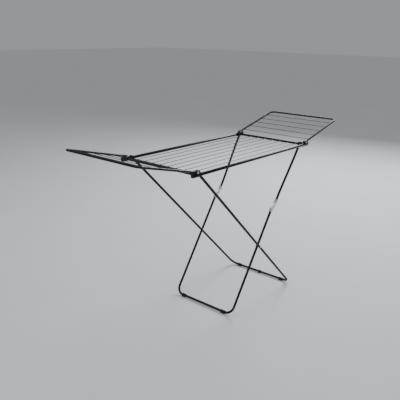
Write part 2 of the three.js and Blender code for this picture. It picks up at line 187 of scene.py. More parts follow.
class Route:
    """A flat path with rounded corners, measured by the distance from its start."""

    def __init__(self, corners, bend=0.0):
        into = (corners[1] - corners[0]).normalized()
        self.spots = [(corners[0], into)]
        for corner, after in zip(corners[1:], corners[2:]):
            out = (after - corner).normalized()
            turn = into.angle(out)
            start = corner - into * bend * math.tan(turn / 2)
            inward = (out - into * math.cos(turn)).normalized()
            for step in range(BEND_STEPS + 1):
                angle = turn * step / BEND_STEPS
                point = start + into * bend * math.sin(angle) + inward * bend * (1 - math.cos(angle))
                self.spots.append((point, into * math.cos(angle) + inward * math.sin(angle)))
            into = out
        self.spots.append((corners[-1], into))
        self.distances = [0.0]
        for (a, _), (b, _) in zip(self.spots, self.spots[1:]):
            self.distances.append(self.distances[-1] + (b - a).length)
        self.length = self.distances[-1]

    def at(self, distance):
        """The point and the direction at a distance along the path."""
        for i, reached in enumerate(self.distances[1:]):
            if distance <= reached or i == len(self.distances) - 2:
                share = (distance - self.distances[i]) / (reached - self.distances[i])
                (a, along_a), (b, along_b) = self.spots[i], self.spots[i + 1]
                return a.lerp(b, share), along_a.lerp(along_b, share).normalized()


class Mark:
    """A place on a bar where it swells or is crimped, and the change of its radius there."""

    def __init__(self, distance, half_width, swell):
        self.distance = distance
        self.half_width = half_width
        self.swell = swell

    def places(self):
        """The distances along the bar that need a ring."""
        steps = range(-BUMP_STEPS, BUMP_STEPS + 1)
        return [self.distance + self.half_width * step / BUMP_STEPS for step in steps]

    def share(self, distance):
        """How much of the swell there is at a distance along the bar."""
        away = abs(distance - self.distance) / self.half_width
        return (1 + math.cos(math.pi * away)) / 2 if away < 1 else 0.0


def both_ends(length, inset_by, half_width, swell):
    """The same mark near both ends of a bar."""
    return [Mark(inset_by, half_width, swell), Mark(length - inset_by, half_width, swell)]


def bar(route, normal, radius, bore=0.0, marks=(), sides=TUBE_SIDES):
    """A round bar along a flat path. Its ends are domed, or bored out to the bore's radius."""
    def ring(distance, size):
        point, along = route.at(distance)
        up = along.cross(normal).normalized()
        for mark in marks:
            size += mark.swell * mark.share(distance)
        angles = [2 * math.pi * k / sides for k in range(sides)]
        return [point + (normal * math.cos(a) + up * math.sin(a)) * size for a in angles]

    if bore > 0:
        end = [(BORE_DEPTH, bore), (LIP, bore), (0.0, bore + LIP / 2)]
        end += [(0.0, radius - LIP), (LIP * 0.3, radius - LIP * 0.3), (LIP, radius)]
    else:
        angles = [math.pi / 2 * step / 5 for step in range(1, 6)]
        end = [(radius * (1 - math.cos(a)) * 0.6, radius * math.sin(a)) for a in angles]
    start_length = end[-1][0]
    places = list(route.distances) + [place for mark in marks for place in mark.places()]
    inside = sorted({round(p, 6) for p in places if start_length < p < route.length - start_length})
    rings = [ring(distance, size) for distance, size in end]
    rings += [ring(distance, radius) for distance in inside]
    rings += [ring(route.length - distance, size) for distance, size in reversed(end)]
    return skin(rings)


def straight(start, end, normal, radius, **options):
    return bar(Route([start, end]), normal, radius, **options)


def turned(profile, centre, axis, sides=ROUND_SIDES):
    """A solid of revolution from (radius, along) pairs, capped flat at its ends."""
    across = axis.orthogonal().normalized()
    up = axis.cross(across).normalized()
    rings = []
    for radius, along in profile:
        base = centre + axis * along
        angles = [2 * math.pi * (k + 0.5) / sides for k in range(sides)]
        rings.append([base + (across * math.cos(a) + up * math.sin(a)) * radius for a in angles])
    return skin(rings)


def rolled_edge(radius, low, high, edge):
    """(radius, along) pairs of a disc whose two rims are rounded over."""
    angles = [math.pi / 2 * step / (EDGE_STEPS + 1) for step in range(EDGE_STEPS + 2)]
    rim = [(radius - edge * (1 - math.sin(a)), edge * (1 - math.cos(a))) for a in angles]
    return [(r, low + d) for r, d in rim] + [(r, high - d) for r, d in reversed(rim)]


def disc(radius, centre, low, high, edge):
    """A disc along Y with rounded rims, between two distances from its centre."""
    return turned(rolled_edge(radius, low, high, edge), centre, Y)


def drill(radius, centre, low, high):
    """A cylinder along Y to cut a hole with."""
    return turned([(radius, low), (radius, high)], centre, Y)


def arc(x, z, radius, start, end, steps=24):
    """Points of an arc in the XZ plane, from one angle in degrees to another."""
    angles = [math.radians(start + (end - start) * step / steps) for step in range(steps + 1)]
    return [(x + radius * math.cos(a), z + radius * math.sin(a)) for a in angles]


def rounded(corners):
    """An outline from (x, z, radius) corners, each one rounded to its radius."""
    outline = []
    for i, (x, z, radius) in enumerate(corners):
        here = Vector((x, z))
        back = (Vector(corners[i - 1][:2]) - here).normalized()
        on = (Vector(corners[(i + 1) % len(corners)][:2]) - here).normalized()
        half = back.angle(on) / 2
        if radius <= 0 or half > math.radians(89):
            outline.append((x, z))
            continue
        centre = here + (back + on).normalized() * (radius / math.sin(half))
        start = here + back * (radius / math.tan(half)) - centre
        end = here + on * (radius / math.tan(half)) - centre
        for step in range(ARC_STEPS + 1):
            spoke = start.normalized().slerp(end.normalized(), step / ARC_STEPS) * radius
            outline.append(tuple(centre + spoke))
    return outline


def inset(outline, amount):
    """An outline that turns left, moved inwards along its mitres."""
    inner = []
    for i, point in enumerate(outline):
        before = Vector(point) - Vector(outline[i - 1])
        after = Vector(outline[(i + 1) % len(outline)]) - Vector(point)
        left_before = Vector((-before.y, before.x)).normalized()
        left_after = Vector((-after.y, after.x)).normalized()
        mitre = (left_before + left_after) / (1 + left_before.dot(left_after))
        inner.append(tuple(Vector(point) + mitre * amount))
    return inner


def slab(outline, low, high, edge=0.0008):
    """A plate cut to an outline in the XZ plane, from one Y to another, its rims rounded over."""
    area = sum(a[0] * b[1] - b[0] * a[1] for a, b in zip(outline, outline[1:] + outline[:1]))
    if area < 0:
        outline = list(reversed(outline))
    angles = [math.pi / 2 * step / (EDGE_STEPS + 1) for step in range(EDGE_STEPS + 2)]
    if edge == 0:
        angles = [math.pi / 2]
    rim = [(edge * (1 - math.sin(a)), edge * (1 - math.cos(a))) for a in angles]
    levels = [(amount, low + depth) for amount, depth in rim]
    levels += [(amount, high - depth) for amount, depth in reversed(rim)]
    return skin([[Vector((x, y, z)) for x, z in inset(outline, amount)] for amount, y in levels])


def carved(base, pieces, operation):
    """The base joined with, cut by or kept within the pieces, which are used up."""
    for piece in pieces:
        step = base.modifiers.new("step", "BOOLEAN")
        step.solver = "MANIFOLD"
        step.operation = operation
        step.object = piece
    bpy.context.view_layer.update()
    evaluated = base.evaluated_get(bpy.context.evaluated_depsgraph_get())
    mesh = bpy.data.meshes.new_from_object(evaluated)
    base.modifiers.clear()
    old = base.data
    base.data = mesh
    bpy.data.meshes.remove(old)
    for piece in pieces:
        scrap = piece.data
        bpy.data.objects.remove(piece)
        bpy.data.meshes.remove(scrap)
    return base


def joined(base, *pieces):
    return carved(base, pieces, "UNION")


def cut(base, *pieces):
    return carved(base, pieces, "DIFFERENCE")


def moved(piece, matrix):
    """A piece moved within its own mesh, so that its object stays at the origin."""
    piece.data.transform(matrix)
    if matrix.determinant() < 0:
        piece.data.flip_normals()
    return piece


def copied(piece, matrix):
    twin = bpy.data.objects.new("blank", piece.data.copy())
    bpy.context.scene.collection.objects.link(twin)
    return moved(twin, matrix)


def flip(sign_x, sign_y):
    return Matrix.Diagonal((sign_x, sign_y, 1, 1))


def fine(piece, node, weighted=False):
    """Names a finished piece, gives it its material and lets it stand for its node."""
    piece.name = "fine_" + node
    piece.data.name = piece.name
    piece.data.shade_smooth()
    piece.data.set_sharp_from_angle(angle=SMOOTH_ANGLE)
    if weighted:
        normals = piece.modifiers.new("weighted", "WEIGHTED_NORMAL")
        normals.keep_sharp = True
    slot = slot_of(node)
    piece.data.materials.clear()
    piece.data.materials.append(MATERIALS[slot])
    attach(piece, body_of(node))
    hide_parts(node)


# --- Materials --------------------------------------------------------------------------------

class Nodes:
    """A short way to write a material's nodes."""

    def __init__(self, name):
        self.material = bpy.data.materials.new(name)
        self.material.use_nodes = True
        self.tree = self.material.node_tree
        self.shader = self.tree.nodes["Principled BSDF"]
        self.place = self.tree.nodes.new("ShaderNodeTexCoord").outputs["Object"]

    def link(self, source, target):
        self.tree.links.new(source, target)

    def noise(self, scale, detail=3.0, rough=0.55, stretch=None):
        node = self.tree.nodes.new("ShaderNodeTexNoise")
        node.inputs["Scale"].default_value = scale
        node.inputs["Detail"].default_value = detail
        node.inputs["Roughness"].default_value = rough
        place = self.place
        if stretch:
            mapping = self.tree.nodes.new("ShaderNodeMapping")
            mapping.inputs["Scale"].default_value = stretch
            self.link(place, mapping.inputs["Vector"])
            place = mapping.outputs["Vector"]
        self.link(place, node.inputs["Vector"])
        return node.outputs["Fac"]

    def cells(self, scale):
        node = self.tree.nodes.new("ShaderNodeTexVoronoi")
        node.inputs["Scale"].default_value = scale
        self.link(self.place, node.inputs["Vector"])
        return node.outputs["Distance"]

    def between(self, value, low, high, at_low=0.0, at_high=1.0):
        node = self.tree.nodes.new("ShaderNodeMapRange")
        node.inputs["From Min"].default_value = low
        node.inputs["From Max"].default_value = high
        node.inputs["To Min"].default_value = at_low
        node.inputs["To Max"].default_value = at_high
        self.link(value, node.inputs["Value"])
        return node.outputs["Result"]

    def times(self, a, b):
        node = self.tree.nodes.new("ShaderNodeMath")
        node.operation = "MULTIPLY"
        self.link(a, node.inputs[0])
        if isinstance(b, float):
            node.inputs[1].default_value = b
        else:
            self.link(b, node.inputs[1])
        return node.outputs["Value"]

    def mixed(self, share, first, second):
        node = self.tree.nodes.new("ShaderNodeMix")
        node.data_type = "RGBA"
        self.link(share, node.inputs["Factor"])
        for socket, colour in ((node.inputs["A"], first), (node.inputs["B"], second)):
            if isinstance(colour, tuple):
                socket.default_value = (*colour, 1)
            else:
                self.link(colour, socket)
        return node.outputs["Result"]

    def upward(self):
        """How far a surface faces up, from 0 on its sides to 1 on its top."""
        geometry = self.tree.nodes.new("ShaderNodeNewGeometry")
        split = self.tree.nodes.new("ShaderNodeSeparateXYZ")
        self.link(geometry.outputs["Normal"], split.inputs["Vector"])
        return self.between(split.outputs["Z"], 0.2, 1.0)

    def edges(self, low, high):
        """Outer edges, where handling wears a surface."""
        geometry = self.tree.nodes.new("ShaderNodeNewGeometry")
        return self.between(geometry.outputs["Pointiness"], low, high)

    def bump(self, *layers):
        """Bumps laid over each other, from (height, strength, depth in metres)."""
        normal = None
        for height, strength, depth in layers:
            node = self.tree.nodes.new("ShaderNodeBump")
            node.inputs["Strength"].default_value = strength
            node.inputs["Distance"].default_value = depth
            self.link(height, node.inputs["Height"])
            if normal:
                self.link(normal, node.inputs["Normal"])
            normal = node.outputs["Normal"]
        self.link(normal, self.shader.inputs["Normal"])

    def colour(self, output):
        self.link(output, self.shader.inputs["Base Color"])

    def roughness(self, output):
        self.link(output, self.shader.inputs["Roughness"])

    def steady(self, **values):
        for name, value in values.items():
            self.shader.inputs[name.replace("_", " ")].default_value = value


def powder_coat():
    """Satin black powder coat: orange peel, faint mottling and a little dust on top."""
    made = Nodes("powder_coat")
    mottle = made.between(made.noise(90, 4), 0.35, 0.65)
    base = made.mixed(mottle, (0.0050, 0.0058, 0.0070), (0.0085, 0.0097, 0.0115))
    dust = made.times(made.between(made.noise(240, 6, 0.7), 0.50, 0.78), made.upward())
    made.colour(made.mixed(made.times(dust, 0.20), base, (0.08, 0.085, 0.09)))
    made.roughness(made.between(made.noise(45, 3), 0.3, 0.7, 0.29, 0.41))
    made.bump((made.noise(950, 2), 0.22, 0.00012), (made.noise(3200, 1), 0.10, 0.00004))
    made.steady(IOR=1.32)
    return made.material


def coated_wire():
    """Drawn wire under a thin satin coat, smoother than the tubes."""
    made = Nodes("coated_wire")
    run = made.between(made.noise(60, 3), 0.35, 0.65)
    base = made.mixed(run, (0.0085, 0.0096, 0.0112), (0.0140, 0.0156, 0.0178))
    rub = made.times(made.between(made.noise(320, 5, 0.7), 0.55, 0.80), made.upward())
    made.colour(made.mixed(made.times(rub, 0.22), base, (0.10, 0.105, 0.11)))
    made.roughness(made.between(made.noise(150, 3), 0.3, 0.7, 0.26, 0.36))
    made.bump((made.noise(1500, 2), 0.16, 0.00006))
    made.steady(IOR=1.32)
    return made.material


def moulded_plastic():
    """Black polypropylene with a fine spark-eroded grain, polished where hands rub it."""
    made = Nodes("moulded_plastic")
    cloud = made.between(made.noise(130, 4), 0.35, 0.65)
    base = made.mixed(cloud, (0.0060, 0.0062, 0.0067), (0.0105, 0.0108, 0.0115))
    worn = made.edges(0.515, 0.58)
    made.colour(made.mixed(made.times(worn, 0.40), base, (0.030, 0.031, 0.033)))
    grain = made.cells(2600)
    made.roughness(made.between(made.noise(400, 3), 0.3, 0.7, 0.44, 0.58))
    made.bump((grain, 0.30, 0.00008), (made.noise(1800, 3), 0.25, 0.00008))
    made.steady(IOR=1.40)
    return made.material


def zinc_plate():
    """Bright zinc on pressed steel: faint rolling lines, cloudy passivation, dull edges."""
    made = Nodes("zinc_plate")
    cloud = made.between(made.noise(260, 4, 0.6), 0.3, 0.7)
    base = made.mixed(cloud, (0.60, 0.63, 0.66), (0.72, 0.73, 0.72))
    stain = made.between(made.noise(520, 5, 0.65), 0.60, 0.78)
    made.colour(made.mixed(made.times(stain, 0.45), base, (0.40, 0.41, 0.42)))
    lines = made.noise(900, 3, 0.6, stretch=(1.0, 1.0, 0.12))
    made.roughness(made.between(lines, 0.3, 0.7, 0.24, 0.40))
    made.bump((lines, 0.12, 0.00004), (made.noise(1400, 2), 0.10, 0.00005))
    made.steady(Metallic=1.0)
    return made.material


MATERIALS = {
    "powder_coat": powder_coat(),
    "coated_wire": coated_wire(),
    "moulded_plastic": moulded_plastic(),
    "zinc_plate": zinc_plate(),
}


# --- Deck -------------------------------------------------------------------------------------

def deck():
    for side, _ in SIDES:
        node = f"deck_rail_{side}"
        low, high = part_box(node)
        start, end = middle(node), middle(node)
        start.x, end.x = low.x, high.x
        bore = RAIL_RADIUS - TUBE_WALL
        fine(straight(start, end, Y, RAIL_RADIUS, bore=bore), node)
    for end, _ in ENDS:
        node = f"deck_crossbar_{end}"
        low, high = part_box(node)
        start, stop = middle(node), middle(node)
        start.y, stop.y = low.y, high.y
        bore = CROSSBAR_RADIUS - TUBE_WALL
        fine(straight(start, stop, X, CROSSBAR_RADIUS, bore=bore), node)
    number = 1
    while f"deck_wire_{number}" in frame["nodes"]:
        node = f"deck_wire_{number}"
        low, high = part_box(node)
        start, end = middle(node), middle(node)
        start.x, end.x = low.x - WELD_REACH, high.x + WELD_REACH
        welds = both_ends(end.x - start.x, 0.0, WELD_LENGTH, WELD_SWELL)
        fine(straight(start, end, Y, WIRE_RADIUS, marks=welds, sides=WIRE_SIDES), node)
        number += 1


def bracket_face():
    """The inner face of the far brackets, just clear of the outer legs."""
    return middle("outer_leg_eye_far").y + LEG_RADIUS + BRACKET_GAP


def stub_axle(hub, tip, root):
    """The hollow axle that a leg eye snaps on to, with a lip at its tip."""
    lip = AXLE_RADIUS + AXLE_LIP
    profile = [(AXLE_RADIUS, tip - AXLE_LIP), (lip - 0.0003, tip - 0.0007), (lip, tip - 0.0004)]
    profile += [(lip - 0.0002, tip), (AXLE_RADIUS, tip), (AXLE_RADIUS, root)]
    axle = turned(profile, hub, Y)
    return cut(axle, drill(AXLE_RADIUS - 0.0022, hub, tip - 0.003, root - 0.004))


def corner_bracket(end):
    """The moulded bracket of a far corner, drawn at the right end: a clip round the inner side
    of the rail, an ear for the wing pin, a socket for the crossbar, a stub axle for the leg eye,
    a rest for the open wing and a rail end cap."""
    low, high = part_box("corner_bracket_right_far")
    face = bracket_face()
    axle_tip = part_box(f"corner_bracket_{end}_far")[0].y + AXLE_LIP
    rail = middle("deck_rail_far")
    rail_line = Vector((0, rail.y, rail.z))
    crossbar = middle("deck_crossbar_right")
    hub = pivot("inner_leg_fold")
    hinge = pivot("wing_right_fold")
    wing = wing_direction()
    slope = wing.z / wing.x
    rest_drop = (FITTING_HALF_HEIGHT + REST_GAP) * math.sqrt(1 + slope * slope)

    def rest_z(x):
        return hinge.z + (x - hinge.x) * slope - rest_drop

    top = rail.z + RAIL_RADIUS + CLIP_LIP
    waist = rail.z + 0.003
    rest_from = hinge.x + 0.012
    clip = slab(rounded([
        (low.x, low.z, 0.003), (high.x, low.z, 0.003), (high.x, rest_z(high.x), 0.0015),
        (rest_from, rest_z(rest_from), 0.001), (rest_from, waist, 0.001),
        (hub.x + 0.012, waist, 0.001), (hub.x + 0.010, top, 0.0008), (low.x, top, 0.002),
    ]), face, rail.y + CLIP_REACH, 0.0006)
    floor_z = low.z + 0.0015
    ear_outline = [(hinge.x - 0.0115, floor_z), (hinge.x + 0.0115, floor_z)]
    ear_outline += arc(hinge.x, hinge.z, EAR_RADIUS, -8, 188)
    hub_outline = [(hub.x - 0.0123, floor_z), (hub.x + 0.0123, floor_z)]
    hub_outline += arc(hub.x, hub.z, EYE_RADIUS, 0, 180)
    collar = disc(0.0066, hinge, face + CHEEK - 0.001, face + CHEEK + 0.0003, 0.0002)
    cap = turned(rolled_edge(RAIL_RADIUS, high.x - CAP_THICKNESS, high.x, 0.0008), rail_line, X)
    bracket = joined(
        clip, slab(ear_outline, face, face + CHEEK), slab(hub_outline, face, face + CHEEK),
        disc(SOCKET_RADIUS, crossbar, face - crossbar.y, face + CHEEK - crossbar.y, 0.0008),
        stub_axle(hub, axle_tip, face + 0.001), collar, cap)
    pocket = rounded([
        (crossbar.x + 0.0135, low.z + 0.003, 0.001), (high.x - 0.003, low.z + 0.003, 0.001),
        (high.x - 0.003, waist - 0.002, 0.001), (crossbar.x + 0.0135, waist - 0.002, 0.001),
    ])
    rail_bore = RAIL_RADIUS + FIT
    rail_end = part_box("deck_rail_far")[1].x
    crossbar_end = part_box("deck_crossbar_right")[1].y
    return cut(
        bracket,
        turned([(rail_bore, low.x - OVERRUN), (rail_bore, rail_end + FIT)], rail_line, X),
        drill(CROSSBAR_RADIUS + FIT, crossbar, face - OVERRUN, crossbar_end + FIT),
        drill(PIN_RADIUS + FIT, hinge, face - OVERRUN, face + CHEEK + OVERRUN),
        slab(pocket, face - OVERRUN, face + BRACKET_POCKET, 0),
    )


def corner_brackets():
    for end, sign_x in ENDS:
        bracket = corner_bracket(end)
        for side, sign_y in SIDES:
            made = copied(bracket, flip(sign_x, sign_y))
            fine(made, f"corner_bracket_{end}_{side}", weighted=True)
        bpy.data.objects.remove(bracket)


# --- Wings ------------------------------------------------------------------------------------

def wing_direction():
    """The way the right wing points out from its pivot."""
    first, last = middle("wing_right_wire_1"), middle("wing_right_wire_5")
    return (last - first).normalized()


def wing_place(end):
    """From a wing's own frame, +X out along its side bars, to the airer's."""
    out = wing_direction()
    up = out.cross(Y)
    right = Matrix((
        (out.x, 0, up.x, 0), (out.y, 1, up.y, 0), (out.z, 0, up.z, 0), (0, 0, 0, 1),
    ))
    right.translation = pivot("wing_right_fold")
    return flip(1 if end == "right" else -1, 1) @ right


def wing_fitting(side_y):
    """The moulded block on a wing's pivot pin, with a collar and a plug for the side bar."""
    half = FITTING_HALF_HEIGHT
    shoulder = FITTING_REACH - 0.006
    outline = arc(0, 0, half, 90, 270) + [(shoulder, -half), (shoulder, half)]
    block = slab(outline, side_y - FITTING_HALF_WIDTH, side_y + FITTING_HALF_WIDTH, 0.0012)
    line = Vector((0, side_y, 0))
    collar = turned([
        (half, shoulder - 0.002), (half, FITTING_REACH - 0.0012), (half * 0.97, FITTING_REACH - 0.0003),
        (half * 0.90, FITTING_REACH), (FITTING_PLUG_RADIUS, FITTING_REACH),
        (FITTING_PLUG_RADIUS, FITTING_REACH + FITTING_PLUG),
    ], line, X)
    pocket = rounded([
        (0.0085, -half + 0.0022, 0.0012), (shoulder - 0.0018, -half + 0.0022, 0.0012),
        (shoulder - 0.0018, half - 0.0022, 0.0012), (0.0085, half - 0.0022, 0.0012),
    ])
    face = FITTING_HALF_WIDTH
    pockets = [
        slab(pocket, side_y - face - OVERRUN, side_y - face + FITTING_POCKET, 0),
        slab(pocket, side_y + face - FITTING_POCKET, side_y + face + OVERRUN, 0),
    ]
    bore = drill(PIN_RADIUS + FIT, line, -0.01, 0.01)
    return cut(joined(block, collar), bore, *pockets)


def headed_pin(centre, low, high, shank=PIN_RADIUS, head=HEAD_RADIUS):
    """A pin along Y with a domed head at both ends, dimpled where the shank was upset."""
    height = HEAD_HEIGHT
    dome = [
        (head * 0.16, height * 0.72), (head * 0.26, height * 0.76), (head * 0.34, height * 0.97),
        (head * 0.50, height), (head * 0.74, height * 0.86), (head * 0.92, height * 0.58),
        (head, height * 0.22), (head * 0.985, 0.0), (shank, 0.0),
    ]
    profile = [(radius, low - along) for radius, along in dome]
    profile += [(radius, high + along) for radius, along in reversed(dome)]
    return turned(profile, centre, Y, sides=40)


def wing(end):
    place = wing_place(end)
    wing_frame = f"wing_{end}_frame"
    to_local = place.inverted()
    half_width = middle("deck_rail_far").y
    spots = [to_local @ v.co for v in frame["nodes"][wing_frame].data.vertices]
    outer = max(spot.x for spot in spots) - WING_RADIUS
    start = FITTING_REACH + GAP
    corners = [
        Vector((start, -half_width, 0)), Vector((outer, -half_width, 0)),
        Vector((outer, half_width, 0)), Vector((start, half_width, 0)),
    ]
    route = Route(corners, WING_BEND)
    crimps = both_ends(route.length, WING_CRIMP, 0.0022, -0.0006)
    tube = bar(route, Z, WING_RADIUS, bore=WING_RADIUS - TUBE_WALL, marks=crimps)
    fine(moved(tube, place), wing_frame)
    wire_end = half_width - WING_RADIUS - GAP + WELD_REACH
    number = 1
    while f"wing_{end}_wire_{number}" in frame["nodes"]:
        node = f"wing_{end}_wire_{number}"
        x = (to_local @ middle(node)).x
        line = [Vector((x, -wire_end, 0)), Vector((x, wire_end, 0))]
        welds = both_ends(2 * wire_end, 0.0, WELD_LENGTH, WELD_SWELL)
        wire = bar(Route(line), X, WIRE_RADIUS, marks=welds, sides=WIRE_SIDES)
        fine(moved(wire, place), node)
        number += 1
    pin_in = half_width - bracket_face() + GAP
    pin_out = FITTING_HALF_WIDTH + GAP
    for side, sign in SIDES:
        block = wing_fitting(sign * half_width)
        fine(moved(block, place), f"wing_{end}_fitting_{side}", weighted=True)
        span = (-pin_in, pin_out) if sign > 0 else (-pin_out, pin_in)
        pin = headed_pin(Vector((0, sign * half_width, 0)), *span)
        fine(moved(pin, place), f"wing_{end}_pivot_pin_{side}")


# --- Legs -------------------------------------------------------------------------------------

def leg_eye(centre, down, side_y, spacer_to):
    """The moulded eye at the top of a leg: a ring on the stub axle, a neck and a plug."""
    low, high = side_y - EYE_WIDTH / 2, side_y + EYE_WIDTH / 2
    middle_point = Vector((centre.x, side_y, centre.z))
    hub = Vector((centre.x, 0, centre.z))
    across = Vector((-down.z, 0, down.x))
    ring = turned(rolled_edge(EYE_RADIUS, low, high, 0.0016), hub, Y)
    neck = turned([
        (0.0080, 0.004), (0.0084, EYE_NECK - 0.0055), (0.0090, EYE_NECK - 0.0045),
        (0.0092, EYE_NECK - 0.003), (0.0092, EYE_NECK - 0.0012), (0.0088, EYE_NECK - 0.0003),
        (0.0080, EYE_NECK), (EYE_PLUG_RADIUS, EYE_NECK), (EYE_PLUG_RADIUS, EYE_PLUG),
    ], middle_point, down)
    gusset = []
    for along, aside in ((-0.002, -0.0122), (0.0165, -0.0086), (0.0165, 0.0086), (-0.002, 0.0122)):
        spot = hub + down * along + across * aside
        gusset.append((spot.x, spot.z))
    pieces = [neck, slab(gusset, side_y - 0.0035, side_y + 0.0035, 0.0006)]
    if spacer_to > high:
        pieces.append(disc(SPACER_RADIUS, hub, high - 0.001, spacer_to, 0.0005))
    bore_to = max(high, spacer_to) + OVERRUN
    return cut(joined(ring, *pieces), drill(AXLE_RADIUS + FIT, hub, low - OVERRUN, bore_to))


def foot_pad(node):
    """A clip-on pad round the foot bar, with raised bands at its ends and a grooved sole."""
    low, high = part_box(node)
    centre = (low + high) / 2
    radius = (high.z - low.z) / 2

    def outline(size):
        half_sole = size * 0.78
        return [(centre.x - half_sole, 0.0), (centre.x + half_sole, 0.0)] + arc(
            centre.x, radius, size, -28, 208, 40)

    start, end = low.y - OVERRUN, high.y + OVERRUN
    band = 0.0045 if high.y - low.y > 0.02 else 0.0032
    waist = slab(outline(radius * 0.93), low.y, high.y, 0.0004)
    ends = [
        slab(outline(radius), low.y, low.y + band, 0.0008),
        slab(outline(radius), high.y - band, high.y, 0.0008),
    ]
    half, deep = GROOVE_HALF_WIDTH, GROOVE_DEPTH
    groove = [(-half, -OVERRUN), (half, -OVERRUN), (half, deep), (-half, deep)]
    grooves = [
        slab([(centre.x + aside + x, z) for x, z in groove], start, end, 0)
        for aside in (-GROOVE_PITCH, 0.0, GROOVE_PITCH)
    ]
    bore = drill(LEG_RADIUS + FIT, Vector((centre.x, 0, radius)), start, end)
    return cut(joined(waist, *ends), bore, *grooves)


def crossing_half(node, head_out):
    """Half of a crossing rivet: a domed head, the shank and a thin washer at its tip."""
    low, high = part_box(node)
    centre = (low + high) / 2
    head_y, tip_y = (high.y, low.y) if head_out * centre.y > 0 else (low.y, high.y)
    out = 1 if head_y > tip_y else -1
    head, height = HEAD_RADIUS, CROSSING_HEAD_HEIGHT
    seat = head_y - out * height
    profile = [
        (head * 0.18, seat + out * height), (head * 0.45, seat + out * height * 0.94),
        (head * 0.70, seat + out * height * 0.76), (head * 0.90, seat + out * height * 0.46),
        (head, seat + out * height * 0.16), (head, seat),
        (PIN_RADIUS, seat), (PIN_RADIUS, tip_y + out * 0.0007),
        (0.0060, tip_y + out * 0.0007), (0.0062, tip_y + out * 0.0004), (0.0060, tip_y),
    ]
    return turned(profile, Vector((centre.x, 0, centre.z)), Y, sides=40)


def leg_loop(top, foot, side_y, down):
    """A U of leg tube, crimped on the plugs at its two tops."""
    corners = [
        Vector((top.x, -side_y, top.z)), Vector((foot.x, -side_y, foot.z)),
        Vector((foot.x, side_y, foot.z)), Vector((top.x, side_y, top.z)),
    ]
    route = Route(corners, LEG_BEND)
    crimps = both_ends(route.length, LEG_CRIMP, 0.0025, -0.0007)
    normal = down.cross(Y).normalized()
    return bar(route, normal, LEG_RADIUS, bore=LEG_RADIUS - TUBE_WALL, marks=crimps)


def outer_leg():
    top = pivot("leg_fold")
    foot = middle("outer_leg_foot_centre")
    side_y = middle("outer_leg_eye_far").y
    down = (foot - top).normalized()
    loop_top = top + down * (EYE_NECK + GAP)
    fine(leg_loop(loop_top, foot, side_y, down), "outer_leg_frame")
    for side, sign in SIDES:
        eye = leg_eye(top, down, side_y, 0.0)
        fine(moved(eye, flip(1, sign)), f"outer_leg_eye_{side}", weighted=True)
        rivet = f"crossing_rivet_outer_{side}"
        fine(crossing_half(rivet, 1), rivet)
    for place in ("near", "far", "centre"):
        fine(foot_pad(f"outer_leg_foot_{place}"), f"outer_leg_foot_{place}", weighted=True)


def knee_lines():
    """The upper and lower tube lines of the inner leg at the knee, and where they start."""
    top, knee = pivot("inner_leg_fold"), pivot("knee_fold")
    upper_down = (knee - top).normalized()
    foot = middle("inner_leg_foot_near")
    foot.y = 0
    to_knee = knee - foot
    angle = math.atan2(to_knee.z, to_knee.x) + math.asin(KNEE_OFFSET / to_knee.length)
    lower_up = Vector((math.cos(angle), 0, math.sin(angle)))
    on_lower = foot + lower_up * to_knee.dot(lower_up)
    return top, knee, foot, upper_down, lower_up, on_lower


def smooth_step(share):
    share = min(max(share, 0.0), 1.0)
    return share * share * (3 - 2 * share)


def yoke(offset, waist_y, flare_from, flare_to):
    """A yoke of bent sheet in its own frame: +Z runs along the tube away from the rivet."""
    outer = YOKE_INNER + YOKE_SHEET
    low = -YOKE_EYE - 0.001
    heights = [low] + [flare_from + (flare_to - flare_from) * k / 16 for k in range(17)]
    heights.append(YOKE_END)

    def inner_face(z):
        return waist_y + (YOKE_INNER - waist_y) * smooth_step((z - flare_from) / (flare_to - flare_from))

    web_start = KNEE_GAP - 0.004
    flat_back = -outer + YOKE_CORNER
    corner_side = [(flat_back, YOKE_END), (flat_back, web_start), (flat_back, web_start - 0.002)]
    eye = arc(offset, 0, YOKE_EYE, 180, 360, 20)
    front = [(0.0066, KNEE_GAP - 0.006), (0.007, KNEE_GAP), (0.007, YOKE_END)]
    outline = slab(corner_side + eye + front, -outer - 0.002, outer + 0.002, 0)
    outline_twin = copied(outline, Matrix.Identity(4))
    straps = []
    for sign, kept in ((1, outline), (-1, outline_twin)):
        across = [(sign * (inner_face(z) + YOKE_SHEET), z) for z in heights]
        across += [(sign * inner_face(z), z) for z in reversed(heights)]
        sheet = slab(across, -0.02, 0.035, 0)
        moved(sheet, Matrix(((0, 1, 0, 0), (1, 0, 0, 0), (0, 0, 1, 0), (0, 0, 0, 1))))
        straps.append(carved(sheet, [kept], "INTERSECT"))
    section = rounded([(flat_back + 0.0005, outer, 0), (-outer, outer, YOKE_CORNER),
                       (-outer, -outer, YOKE_CORNER), (flat_back + 0.0005, -outer, 0)])
    hollow = rounded([(flat_back + 0.0005, -YOKE_INNER, 0),
                      (-YOKE_INNER, -YOKE_INNER, YOKE_CORNER - YOKE_SHEET),
                      (-YOKE_INNER, YOKE_INNER, YOKE_CORNER - YOKE_SHEET),
                      (flat_back + 0.0005, YOKE_INNER, 0)])
    web = slab(section + hollow, web_start, YOKE_END, 0)
    moved(web, Matrix(((1, 0, 0, 0), (0, 0, 1, 0), (0, 1, 0, 0), (0, 0, 0, 1))))
    made = joined(web, *straps)
    rivet_hole = drill(PIN_RADIUS * 0.9, Vector((offset, 0, 0)), -0.012, 0.012)
    made = cut(made, rivet_hole)
    edges = made.modifiers.new("edges", "BEVEL")
    edges.width = 0.00022
    edges.segments = 2
    edges.limit_method = "ANGLE"
    edges.angle_limit = math.radians(50)
    return made


def on_tube(point, up, y, downwards):
    """From a yoke's own frame to its place on a tube line."""
    turn = Matrix.Rotation(math.atan2(up.x, up.z), 4, "Y")
    place = Matrix.Translation(Vector((point.x, y, point.z))) @ turn
    return place @ Matrix.Rotation(math.pi, 4, "X") if downwards else place


